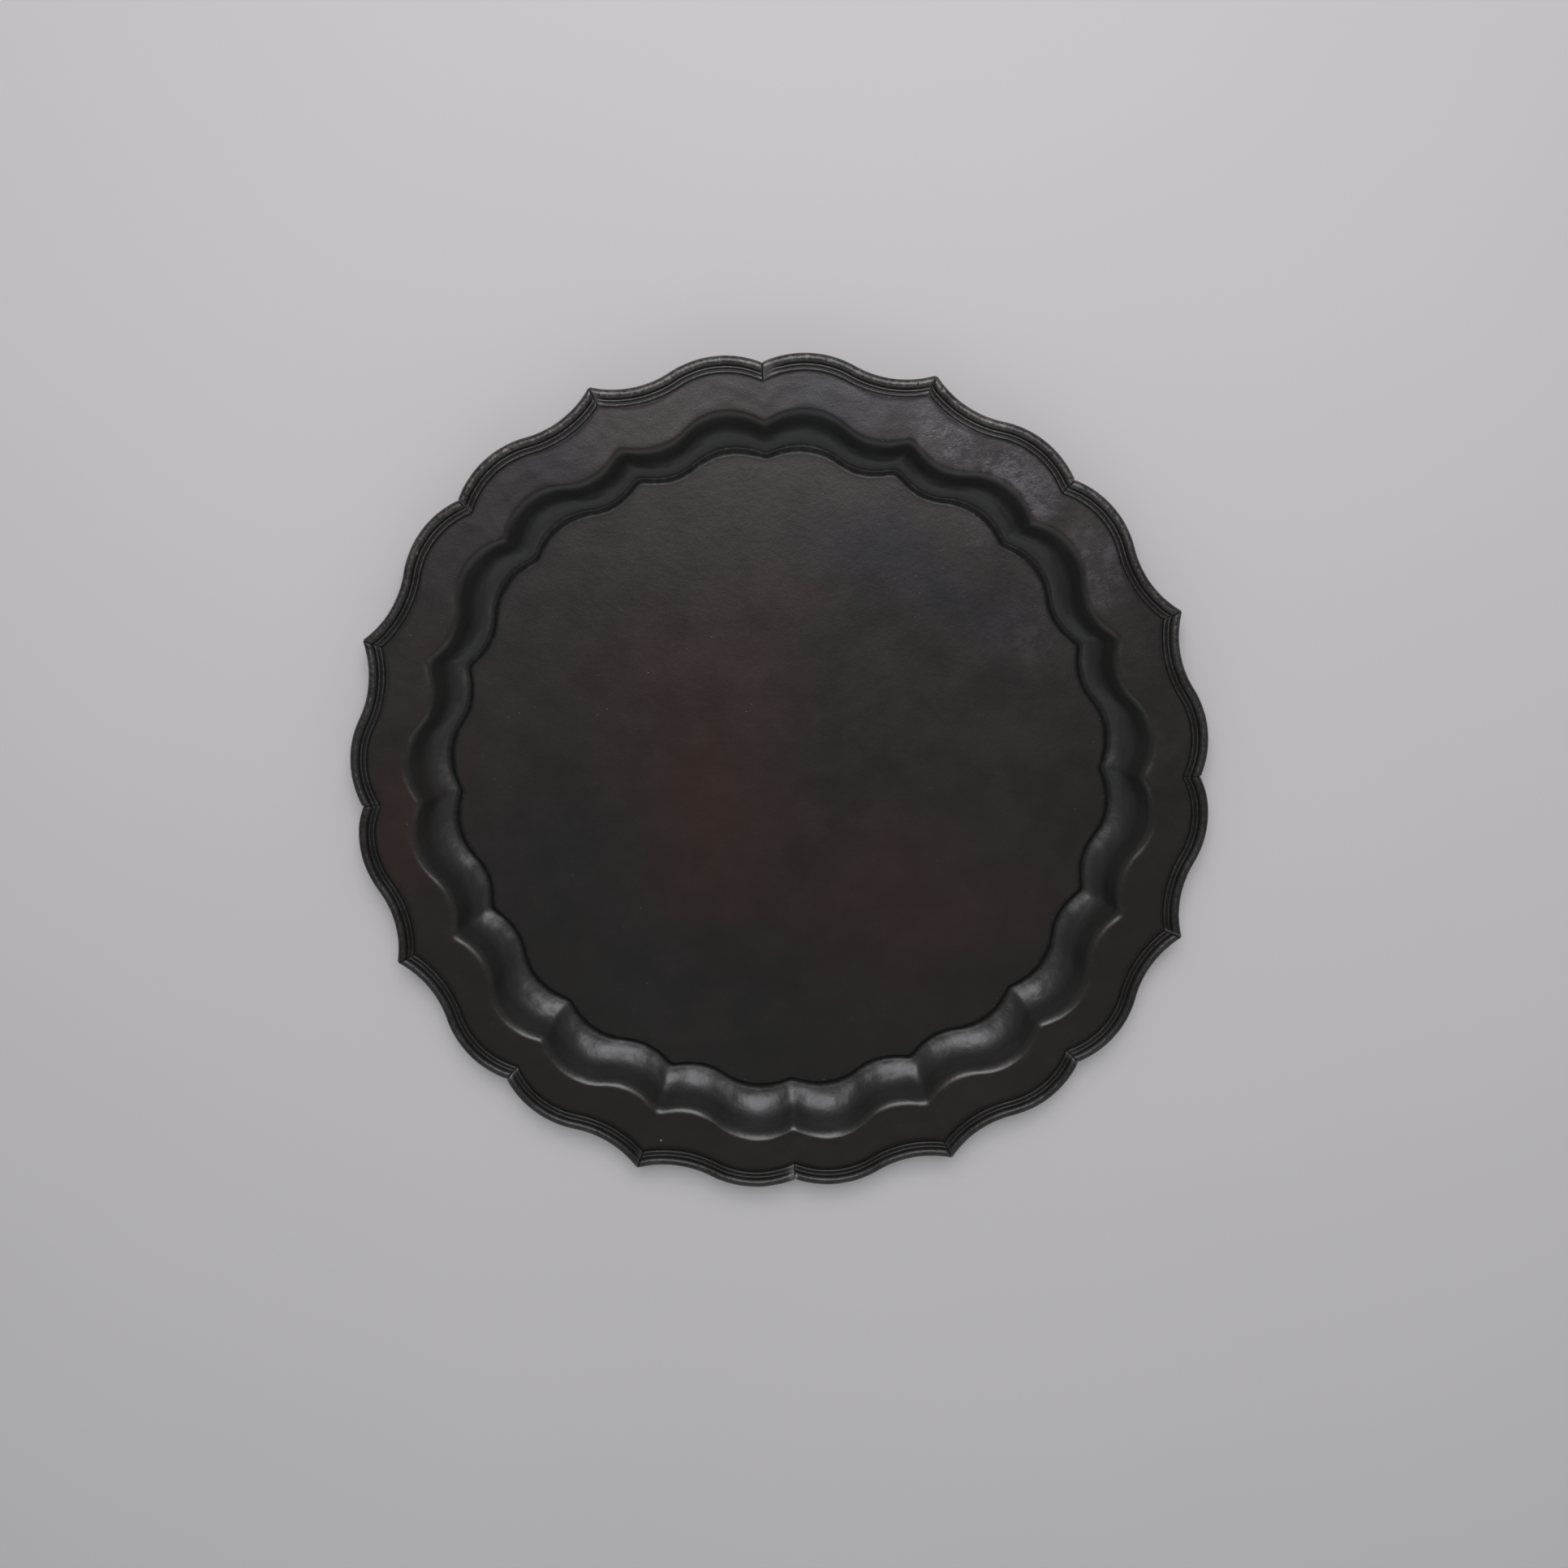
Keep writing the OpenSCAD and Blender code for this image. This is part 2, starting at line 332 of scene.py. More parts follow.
def sheet_mesh():
    """The whole sheet as one closed skin: rim, brim, wall, groove and floor above, and the same
    below, met along the outer edge. Each row of points is one ring round the tray."""
    angle = spoke_angles()
    top = top_section()
    under = offset_below(top)
    # The rim's edge is rounded above only: below, it runs out level
    under[:3, 0] = (0, 0.1 * MM, 0.3 * MM)
    under[:3, 1] = under[3, 1]
    # Each ring: how far in, how high, the share of the way to the middle, and 1 above or -1 below
    rings = [(max(s, 0), z, 0, -1) for s, z in under]
    for share in np.linspace(0, 1, UNDER_FLOOR_RINGS + 1)[1:-1]:
        rings.append((FLOOR_S, FLOOR_Z - SHEET_T, share, -1))
    rings.reverse()
    rings += [(s, z, 0, 1) for s, z in top]
    for share in np.append(EDGE_SHARES, np.linspace(EVEN_SHARE, 1, FLOOR_RINGS)[:-1]):
        rings.append((FLOOR_S, FLOOR_Z + BURR * fade(share, BURR_SHARE), share, 1))
    count = len(angle)
    points = np.concatenate([ring_points(angle, *ring) for ring in rings])
    faces = strip_faces(len(rings), count)
    under_middle, top_middle = len(points), len(points) + 1
    middles = np.array([[0, 0, FLOOR_Z - SHEET_T], [0, 0, FLOOR_Z]])
    middles[1, 2] += sheet_heights(*(np.array([v]) for v in (0.0, 0.0, FLOOR_S, 0.0, 1.0)))[0]
    points = np.concatenate([points, middles])
    last = (len(rings) - 1) * count
    for i in range(count):
        j = (i + 1) % count
        faces.append([under_middle, j, i])
        faces.append([last + i, last + j, top_middle])
    s, _, share, side = np.repeat(np.array(rings), count, axis=0).T
    below = np.append(side < 0, [True, False])
    masks = sheet_masks(np.append(s, [FLOOR_S] * 2), np.append(share, [1, 1]), below.astype(float))
    return points, faces, masks


def ring_points(angle, s, z, share, side):
    """One ring of the sheet. side is 1 for the upper surface and -1 for the underside, which has
    coarser hammer marks and stays above the table."""
    r = sheet_radius(s, angle) * (1 - share)
    x, y = r * np.sin(angle), r * np.cos(angle)
    lift = sheet_heights(x, y, np.full_like(angle, s), angle, np.full_like(angle, share))
    lift = lift * smoothstep(0.5 * MM, SEAT_W, s)
    if side < 0:
        coarse = hammer_marks(x + 2, y + 2, size=11 * MM, bow=420 * MM, seed=31)
        lift = lift - coarse * smoothstep(SEAT_W / 2, BRIM_W, s)
    y = y + WELL_SHIFT * smoothstep(BRIM_W, FOOT_S, s)
    x, y = out_of_round(x, y)
    height = z + lift
    return np.stack([x, y, np.maximum(height, 0) if side < 0 else height], 1)


def sheet_masks(s, share, below):
    """Where the sheet is worn, dirty or darkened as painted shade, on its underside, part of the wall
    and groove, or on the edge of the floor, each from 0 to 1."""
    above = 1 - below
    worn = bell(s, BRIM_W - 0.9 * MM, 2.0 * MM)
    # Darker into the chased groove and in a band on the brim along the moulding's foot: partly real
    # grime, partly painted shade in these hollows
    floor_dirt_and_shade = 0.65 * fade(share, 0.012) + 0.35 * fade(share, 0.035)
    dirt_and_shade = smoothstep(FOOT_S - 0.4 * MM, FOOT_S + 1.2 * MM, s) * floor_dirt_and_shade
    dirt_and_shade = dirt_and_shade + bell(s, MOULDING_W + 0.2 * MM, 0.9 * MM)
    return {
        "worn": np.clip(worn, 0, 1) * above,
        "dirt_and_shade": np.clip(dirt_and_shade, 0, 1) * above,
        "under": below,
        "flute": smoothstep(BRIM_W - 2 * MM, BRIM_W + 1.5 * MM, s) * fade(share, 0.006),
        "edge": bell(s, FLOOR_S, 0.6 * MM) * fade(share, 0.01) * above,
    }


# ---- The moulding ----

# Gap between two lengths at a closed mitre
MITRE_GAP = 0.07 * MM
# Cusps whose mitres have opened, by the number of the length before them: how wide the gap is
OPEN_CUSPS = {1: 0.45 * MM, 15: 0.17 * MM, 13: 0.12 * MM}
# Lengths whose end at the notch was soldered off its line: how far inward it lies
OFF_LINE = {5: 0.30 * MM, 9: -0.28 * MM, 12: 0.38 * MM, 16: 0.15 * MM}
# Lengths whose end at the notch was filed down to the solder: how far along
FILED_FLAT = {1: 11 * MM, 9: 6 * MM}
STEPS_PER_LENGTH = 110
CHAMFER = 0.35 * MM
# About how far a length runs along the rim
LENGTH_RUN = 71 * MM
# How far along it a length that was soldered off its line comes back to it
OFF_LINE_RUN = 9 * MM
# Insets that differ by less than this are one line
LEVEL = 1e-7


def arc(x, y, r, start, end, count):
    """Points of an arc in the moulding's section, in millimetres and degrees."""
    turn = np.radians(np.linspace(start, end, count))
    return [(x + r * cos(t), y + r * sin(t)) for t in turn]


def moulding_profile():
    """Section of the moulding, x in from its outer edge and y up from the brim: a fat bead, a fine
    reed and a slanting inner reed with a crisp edge. It runs from the outer foot to the inner."""
    points = [(0.45, 0), (0.3, 0.12)]
    points += arc(2.02, 1.43, 1.97, 212, 16, 20)
    points += [(3.96, 1.70)]
    points += arc(4.62, 1.52, 0.62, 160, 20, 8)
    points += [(5.32, 1.45), (5.55, 1.52), (5.9, 1.74), (6.15, 1.87)]
    points += arc(6.36, 1.42, 0.52, 95, -40, 7)
    points += [(6.72, 0.6), (6.68, 0.1), (6.6, 0)]
    return np.array(points) * MM


def mitre_foot(centre, r, mitre, gap):
    """Where an arc meets a mitre that is moved by half a gap: the point of the mitre's line nearest
    to the arc's centre, how far along the line the arc is from there, and the line's direction."""
    line = towards(mitre)
    square = np.array([line[1], -line[0]])
    inward = 1 if mitre == 0 else -1
    away = centre @ square - inward * gap / 2
    return centre - away * square, sqrt(max(r**2 - away**2, 0)), line


def length_arcs(inset, gap_cusp):
    """The two arcs of a line that runs a fixed distance inside the rim, from the notch's mitre to
    the cusp's: their radii, and the angles where the line starts, turns over and ends."""
    bulge, hollow = RIM.bulge_r - inset, RIM.hollow_r + inset
    b, h = RIM.bulge_centre, RIM.hollow_centre
    foot, reach, line = mitre_foot(b, bulge, 0.0, MITRE_GAP)
    start = foot + reach * line - b
    foot, reach, line = mitre_foot(h, hollow, HALF_LOBE, gap_cusp)
    end = foot - reach * line - h
    way = h - b
    return bulge, hollow, atan2(start[1], start[0]), atan2(way[1], way[0]), atan2(end[1], end[0])


def length_points(inset, t, gap_cusp):
    """Points at shares t of the way from mitre to mitre, on the line inset from the rim."""
    bulge, hollow, first, turn, last = length_arcs(inset, gap_cusp)
    back = turn + pi
    sweep = (last - back + pi) % (2 * pi) - pi
    on_bulge, on_hollow = bulge * abs(first - turn), hollow * abs(sweep)
    split = on_bulge / (on_bulge + on_hollow)
    a = first + (turn - first) * np.clip(t / split, 0, 1)
    c = back + sweep * np.clip((t - split) / (1 - split), 0, 1)
    return np.where(
        (t <= split)[:, None],
        RIM.bulge_centre + bulge * np.stack([np.cos(a), np.sin(a)], 1),
        RIM.hollow_centre + hollow * np.stack([np.cos(c), np.sin(c)], 1),
    )


def length_rows(inset, t, gap_cusp):
    """Points whose inset changes along the length: each is on its own line."""
    low, high = inset.min(), inset.max()
    a = length_points(low, t, gap_cusp)
    if high - low < LEVEL:
        return a
    b = length_points(high, t, gap_cusp)
    share = ((inset - low) / (high - low))[:, None]
    return a + (b - a) * share


def length_mesh(number):
    """One length of moulding: each row of points follows one point of the section from mitre to
    mitre, shaped by files, nicks and a hand that was not quite steady."""
    rng = np.random.default_rng(100 + number)
    profile = moulding_profile()
    middle = profile.mean(0)
    even = np.linspace(0, 1, STEPS_PER_LENGTH)
    t = 0.8 * even + 0.2 * (1 - np.cos(pi * even)) / 2
    along, to_end = t * LENGTH_RUN, np.minimum(t, 1 - t) * LENGTH_RUN
    filed = rng.uniform(0.25, 1.0, 2) * rng.choice([0.35, 1.0], 2, p=[0.5, 0.5])
    reach = rng.uniform(2.0, 5.5, 2) * MM
    if number in FILED_FLAT:
        filed[0], reach[0] = 1.0, FILED_FLAT[number]
    gap_cusp = OPEN_CUSPS.get(number if number % 2 else number - 1, MITRE_GAP)
    nicks = rng.uniform(0.06, 0.94, rng.integers(1, 4)) * LENGTH_RUN
    depths = rng.uniform(0.15, 0.4, len(nicks)) * MM
    dip = sum(depth * bell(along, nick, 0.55 * MM) for nick, depth in zip(nicks, depths))
    shrink = CHAMFER * fade(to_end, CHAMFER) ** 1.5
    flat = np.maximum(filed[0] * fade(along, reach[0]), filed[1] * fade(LENGTH_RUN - along, reach[1]))
    bump = 0.05 * MM * wander(t * 2 * pi, 300 + number, 2, 30)
    sway = 0.05 * MM * wander(t * 2 * pi, 309 + number, 3, 24)
    fine = 0.025 * MM * wander(t * 2 * pi, 350 + number, 20, 54)
    off_line = OFF_LINE.get(number, 0.0) * fade(along, OFF_LINE_RUN)
    rows = []
    for (x, y), (filed_x, filed_y) in zip(profile, filed_profile(profile)):
        out = (np.array([x, y]) - middle) / hypot(x - middle[0], y - middle[1])
        on_bead = bell(x, 2.0 * MM, 1.9 * MM) * smoothstep(0.6 * MM, 2.2 * MM, y)
        inset = x + (filed_x - x) * flat - out[0] * shrink + on_bead * sway + off_line
        height = y + (filed_y - y) * flat - out[1] * shrink * (y > 0.2 * MM)
        height = height + on_bead * (bump - dip * bell(x, 1.6 * MM, 1.2 * MM))
        height = height + smoothstep(0.6 * MM, 1.4 * MM, y) * fine
        rows.append(np.column_stack([length_rows(inset, t, gap_cusp), SEAT_Z + height]))
    points = place_length(np.stack(rows, 1).reshape(-1, 3), number)
    masks = moulding_masks(profile, along, to_end, flat, nicks)
    return points, length_faces(len(t), len(profile), number), masks


def place_length(points, number):
    """Turns a length to its place. Odd numbers run clockwise from a notch to a cusp, and even ones
    are mirrored, so that they run the other way from the next notch."""
    mirrored = number % 2 == 0
    x, y, z = points.T
    if mirrored:
        x = -x
    turn = (number if mirrored else number - 1) * HALF_LOBE
    x, y = out_of_round(x * cos(turn) + y * sin(turn), y * cos(turn) - x * sin(turn))
    return np.column_stack([x, y, z])


def length_faces(steps, count, number):
    """Quads between the steps of a length, and one face at each end."""
    faces = []
    for i in range(steps - 1):
        for j in range(count):
            k = (j + 1) % count
            faces.append([i * count + j, (i + 1) * count + j, (i + 1) * count + k, i * count + k])
    faces.append(list(range(count)))
    faces.append([(steps - 1) * count + j for j in range(count - 1, -1, -1)])
    if number % 2 == 0:
        faces = [face[::-1] for face in faces]
    return faces


def filed_profile(profile):
    """The section where a file has taken the reeds down: its valleys are full, its crests low."""
    filed = profile.copy()
    line_x = np.array([0.3, 1.0, 2.0, 3.0, 4.6, 6.4, 6.9]) * MM
    line_y = np.array([1.9, 2.8, 3.05, 2.75, 2.05, 1.72, 1.2]) * MM
    above = profile[:, 1] > 1.25 * MM
    filed[above, 1] = np.interp(profile[above, 0], line_x, line_y)
    return filed


def moulding_masks(profile, along, to_end, flat, nicks):
    """Where the moulding is worn, dirty or darkened as painted shade, or filed, each from 0 to 1, for
    each of its points.
    """
    x, y = profile[:, 0], profile[:, 1]
    crest = bell(x, 1.7 * MM, 1.5 * MM) * (y > 2.3 * MM)
    crest = crest + 0.6 * bell(x, 4.62 * MM, 0.35 * MM) * (y > 1.9 * MM)
    crest = crest + 0.8 * bell(x, 6.5 * MM, 0.35 * MM) * (y > 1.5 * MM)
    # Painted shade in the valleys between the reeds and along the moulding's foot on the brim; the
    # mitre joints below are dark joints
    valley = bell(x, 3.96 * MM, 0.28 * MM) + bell(x, 5.32 * MM, 0.3 * MM) + (y < 0.7 * MM)
    shape = (len(along), len(profile))
    nicked = sum(bell(along, nick, 0.6 * MM) for nick in nicks)
    worn = np.maximum(np.broadcast_to(crest, shape), nicked[:, None] * crest * 1.5)
    joint = 0.5 * fade(to_end, 0.35 * MM)
    dirt_and_shade = np.maximum(np.broadcast_to(valley, shape) * (1 - 0.7 * flat[:, None]), joint[:, None])
    filed = np.broadcast_to(flat[:, None], shape)
    masks = {"worn": worn, "dirt_and_shade": dirt_and_shade, "filed": filed}
    return {name: np.clip(values, 0, 1).ravel() for name, values in masks.items()}


def add_piece(name, points, faces, masks):
    """A mesh object with its masks as point attributes."""
    mesh = bpy.data.meshes.new(name)
    mesh.from_pydata(points.tolist(), [], faces)
    mesh.update()
    for key, values in masks.items():
        attribute = mesh.attributes.new(key, "FLOAT", "POINT")
        attribute.data.foreach_set("value", np.asarray(values, np.float32))
    mesh.polygons.foreach_set("use_smooth", [True] * len(mesh.polygons))
    piece = bpy.data.objects.new(name, mesh)
    bpy.context.scene.collection.objects.link(piece)
    return piece


# ---- Materials ----


class Nodes:
    """A short way to write a material's nodes."""

    def __init__(self, name):
        self.material = bpy.data.materials.new(name)
        self.material.use_nodes = True
        self.tree = self.material.node_tree
        self.shader = self.tree.nodes["Principled BSDF"]
        self.place = self.tree.nodes.new("ShaderNodeTexCoord").outputs["Object"]

    def set(self, socket, value):
        if isinstance(value, bpy.types.NodeSocket):
            self.tree.links.new(value, socket)
        else:
            socket.default_value = value

    def math(self, operation, a, b=0.0, c=0.0, clamp=False):
        node = self.tree.nodes.new("ShaderNodeMath")
        node.operation = operation
        node.use_clamp = clamp
        for socket, value in zip(node.inputs, (a, b, c)):
            self.set(socket, value)
        return node.outputs[0]

    def times(self, a, b):
        return self.math("MULTIPLY", a, b)

    def mask(self, name):
        """One of the masks that add_piece stored on the mesh."""
        node = self.tree.nodes.new("ShaderNodeAttribute")
        node.attribute_name = name
        return node.outputs["Fac"]

    def noise(self, size, detail, rough, shift=0.0):
        """Noise whose features are about this size, from 0 to 1. A shift picks another part of it."""
        mapping = self.tree.nodes.new("ShaderNodeMapping")
        self.set(mapping.inputs["Vector"], self.place)
        mapping.inputs["Location"].default_value = (shift, 0.7 * shift, 0.3 * shift)
        node = self.tree.nodes.new("ShaderNodeTexNoise")
        self.set(node.inputs["Vector"], mapping.outputs[0])
        node.inputs["Scale"].default_value = 1 / size
        node.inputs["Detail"].default_value = detail
        node.inputs["Roughness"].default_value = rough
        return node.outputs["Fac"]

    def cells(self, size):
        """Distance to the nearest of scattered points, in cells of about this size."""
        node = self.tree.nodes.new("ShaderNodeTexVoronoi")
        self.set(node.inputs["Vector"], self.place)
        node.inputs["Scale"].default_value = 1 / size
        return node.outputs["Distance"]

    def ramp(self, value, low, high, start=0.0, end=1.0):
        """A smooth step from start to end as value goes from low to high."""
        node = self.tree.nodes.new("ShaderNodeMapRange")
        node.interpolation_type = "SMOOTHSTEP"
        for socket, number in zip(node.inputs[1:5], (low, high, start, end)):
            self.set(socket, number)
        self.set(node.inputs[0], value)
        return node.outputs[0]

    def mix(self, share, a, b):
        """Colour a, or colour b where share is 1."""
        node = self.tree.nodes.new("ShaderNodeMix")
        node.data_type = "RGBA"
        colours = [s for s in node.inputs if s.type == "RGBA"]
        self.set(node.inputs["Factor"], share)
        for socket, value in zip(colours, (a, b)):
            self.set(socket, (*value, 1) if isinstance(value, tuple) else value)
        return [s for s in node.outputs if s.type == "RGBA"][0]

    def distance(self, at):
        """Distance in metres from a place on the tray."""
        node = self.tree.nodes.new("ShaderNodeVectorMath")
        node.operation = "DISTANCE"
        self.set(node.inputs[0], self.place)
        node.inputs[1].default_value = at
        return node.outputs["Value"]

    def near(self, at, reach, ragged):
        """1 at a place on the tray, falling to 0 at reach, with an edge broken up by ragged."""
        away = self.math("MULTIPLY_ADD", ragged, -0.9 * reach, self.distance((*at, FLOOR_Z)))
        return self.ramp(away, -0.35 * reach, 0.75 * reach, 1.0, 0.0)

    def spots(self, places, reach):
        """1 at each of some places, falling to 0 at reach."""
        found = 0.0
        for at in places:
            spot = self.ramp(self.distance(at), 0.3 * reach, reach, 1.0, 0.0)
            found = self.math("MAXIMUM", spot, found)
        return found

    def bump(self, height, distance, normal=None):
        """A normal roughened as if height were relief, distance metres from its 0 to its 1."""
        node = self.tree.nodes.new("ShaderNodeBump")
        node.inputs["Distance"].default_value = distance
        self.set(node.inputs["Height"], height)
        if normal is not None:
            self.set(node.inputs["Normal"], normal)
        return node.outputs[0]


# Colours of the patina and its stains, of pale mottles, of dirt and painted shade, and of metal or
# solder that shows; the wall's grey is partly painted light, and the pale grey also paints glints
PATINA = (0.0170, 0.0146, 0.0115)
# Grey of the wall, lighter than its own tone as painted light on the wall; on the moulding it mixes at
# random with the patina
FLUTE = (0.0340, 0.0352, 0.0325)
RED_BROWN = (0.050, 0.0215, 0.0115)
GREY_BROWN = (0.029, 0.0230, 0.0188)
BLUE_GREY = (0.0185, 0.0190, 0.0235)
SLATE = (0.0200, 0.0182, 0.0165)
BOTTLE = (0.0190, 0.0178, 0.0130)
ROSE = (0.050, 0.037, 0.034)
SKY = (0.029, 0.032, 0.040)
OLIVE = (0.028, 0.022, 0.013)
PALE_MOTTLE = (0.150, 0.138, 0.158)
VIOLET = (0.030, 0.027, 0.032)
NEAR_BLACK = (0.0090, 0.0088, 0.0080)
DULL_COPPER = (0.17, 0.130, 0.105)
PALE_COPPER = (0.46, 0.41, 0.36)
# Pale grey: solder on filed mitres, and painted glints on the floor's edge
PALE_GREY = (0.15, 0.145, 0.14)
CHIP = (0.42, 0.42, 0.40)

# Size of a chip on the brim and on the moulding
BRIM_CHIP_R, BEAD_CHIP_R = 0.7 * MM, 1.2 * MM

# Stains on the sheet: colour, place and reach in metres, and strength
STAINS = (
    (RED_BROWN, (-0.029, 0.044), 0.060, 0.55),
    (RED_BROWN, (-0.034, -0.020), 0.055, 0.75),
    (RED_BROWN, (0.050, -0.052), 0.060, 0.55),
    (RED_BROWN, (0.106, -0.068), 0.034, 0.45),
    (RED_BROWN, (0.012, 0.098), 0.032, 0.45),
    (RED_BROWN, (-0.163, -0.012), 0.042, 0.65),
    (SLATE, (-0.103, -0.035), 0.058, 0.85),
    (SLATE, (-0.075, -0.095), 0.058, 0.85),
    (SLATE, (-0.012, -0.118), 0.045, 0.70),
    (BLUE_GREY, (0.018, 0.106), 0.026, 0.65),
    (BLUE_GREY, (0.042, 0.098), 0.026, 0.75),
    (BLUE_GREY, (0.066, 0.086), 0.024, 0.65),
    (BLUE_GREY, (0.086, 0.068), 0.022, 0.50),
    (OLIVE, (0.085, -0.010), 0.045, 0.65),
    (OLIVE, (0.040, 0.050), 0.050, 0.45),
    (BOTTLE, (0.000, -0.170), 0.085, 0.80),
    (BOTTLE, (-0.125, -0.120), 0.075, 0.80),
    (BOTTLE, (0.125, -0.120), 0.075, 0.80),
    (BOTTLE, (0.172, -0.010), 0.060, 0.70),
    (GREY_BROWN, (-0.010, 0.115), 0.060, 0.50),
    (ROSE, (-0.058, 0.152), 0.035, 0.70),
    (SKY, (-0.090, 0.150), 0.030, 0.60),
    (SKY, (0.024, 0.166), 0.028, 0.75),
    (SKY, (-0.020, 0.172), 0.022, 0.55),
    (VIOLET, (0.050, 0.160), 0.030, 0.60),
    (VIOLET, (-0.125, 0.110), 0.040, 0.60),
)
# Pale mottled patches on the brim, and a faint one on the floor, toward +X and +Y: place and reach in
# metres, and strength
PALE_MOTTLES = (
    ((0.078, 0.146), 0.026, 0.70),
    ((0.102, 0.124), 0.028, 0.80),
    ((0.134, 0.092), 0.026, 0.60),
    ((0.110, 0.062), 0.022, 0.18),
    ((0.048, 0.163), 0.020, 0.40),
)
# The moulding's top side, paler both from rubbing by hands and as a painted highlight where the lights
# fall
TOP_SIDE = (0.0, 0.185, RIM_TOP)
# Small pale chips on the brim, and on the crest of the moulding
BRIM_CHIPS = ((-0.0593, -0.1585, SEAT_Z), (0.1205, 0.0885, SEAT_Z))
BEAD_CHIPS = ((-0.1455, 0.1065, RIM_TOP), (0.0005, -0.1765, RIM_TOP), (0.0260, 0.1805, RIM_TOP),
              (0.0485, 0.1745, RIM_TOP), (-0.0320, 0.1805, RIM_TOP), (-0.1760, 0.0610, RIM_TOP))


def patina_colour(n, medium, small):
    """Brown-black patina, mottled and stained, and greyer and lighter on the wall: partly the wall's
    own tone, partly painted light standing in for the pale surroundings it reflects.
    """
    broad = n.noise(0.060, 5.0, 0.55, shift=1.7)
    colour = n.mix(n.ramp(broad, 0.3, 0.7), PATINA, GREY_BROWN)
    colour = n.mix(n.times(n.ramp(medium, 0.35, 0.85), 0.30), colour, RED_BROWN)
    for tint, at, reach, strength in STAINS:
        ragged = n.noise(0.03, 3.0, 0.5, shift=at[0] * 50)
        colour = n.mix(n.times(n.near(at, reach, ragged), strength), colour, tint)
    colour = n.mix(n.times(n.ramp(small, 0.3, 0.9), 0.20), colour, GREY_BROWN)
    # The wall's grey: partly its own tone, partly painted light for the pale surroundings it reflects
    return n.mix(n.times(n.mask("flute"), 0.75), colour, FLUTE)


def pale_mottle_share(n):
    """Pale mottled patches on the brim, none on the wall or the underside."""
    pale_mottle = 0.0
    for at, reach, strength in PALE_MOTTLES:
        ragged = n.noise(0.012, 3.0, 0.6, shift=at[0] * 90)
        pale_mottle = n.math("MAXIMUM", n.times(n.near(at, reach, ragged), strength), pale_mottle)
    for name in ("flute", "under"):
        pale_mottle = n.times(pale_mottle, n.math("SUBTRACT", 1.0, n.mask(name), clamp=True))
    mottled = n.ramp(n.noise(0.007, 5.0, 0.75, shift=12.0), 0.42, 0.60)
    return n.times(pale_mottle, n.math("MULTIPLY_ADD", mottled, 0.75, 0.25))


def sheet_gloss(n, medium, small, rubbed, grime_and_shade):
    """A waxed skin over dull metal: duller on the wall and the underside, and dull in the grime and
    painted shade.
    """
    rough = n.ramp(medium, 0.2, 0.8, 0.30, 0.38)
    rough = n.math("MULTIPLY_ADD", n.mask("under"), 0.14, rough)
    rough = n.math("MULTIPLY_ADD", n.mask("flute"), 0.10, rough)
    rough = n.math("MULTIPLY_ADD", grime_and_shade, 0.30, rough, clamp=True)
    n.set(n.shader.inputs["Roughness"], rough)
    metal = n.math("MULTIPLY_ADD", grime_and_shade, -0.25, n.math("MULTIPLY_ADD", rubbed, 0.3, 0.30))
    n.set(n.shader.inputs["Metallic"], metal)
    n.set(n.shader.inputs["Specular IOR Level"], n.math("MULTIPLY_ADD", grime_and_shade, -0.25, 0.5))
    wax = n.math("MULTIPLY_ADD", grime_and_shade, -0.62, 0.7)
    wax = n.math("MULTIPLY_ADD", n.mask("under"), -0.5, wax, clamp=True)
    n.set(n.shader.inputs["Coat Weight"], wax)
    wax_rough = n.ramp(medium, 0.2, 0.8, 0.20, 0.27)
    wax_rough = n.math("MULTIPLY_ADD", n.ramp(small, 0.3, 0.8), 0.03, wax_rough)
    wax_rough = n.math("MULTIPLY_ADD", n.mask("flute"), 0.06, wax_rough)
    n.set(n.shader.inputs["Coat Roughness"], wax_rough)


def sheet_relief(n, small, pale_mottle, pits):
    """Relief too fine for the mesh, in the metal and in the wax over it."""
    dents = n.times(n.noise(0.0065, 2.0, 0.5, shift=18.0), n.mask("flute"))
    crust = n.times(n.noise(0.0028, 4.0, 0.7, shift=19.0), pale_mottle)
    grain = n.noise(0.0009, 3.0, 0.6, shift=2.0)
    normal = n.bump(dents, 0.28 * MM)
    normal = n.bump(crust, 0.18 * MM, normal)
    normal = n.bump(small, 0.06 * MM, normal)
    normal = n.bump(grain, 0.02 * MM, normal)
    normal = n.bump(pits, -0.06 * MM, normal)
    n.set(n.shader.inputs["Normal"], normal)
    n.set(n.shader.inputs["Coat Normal"], normal)


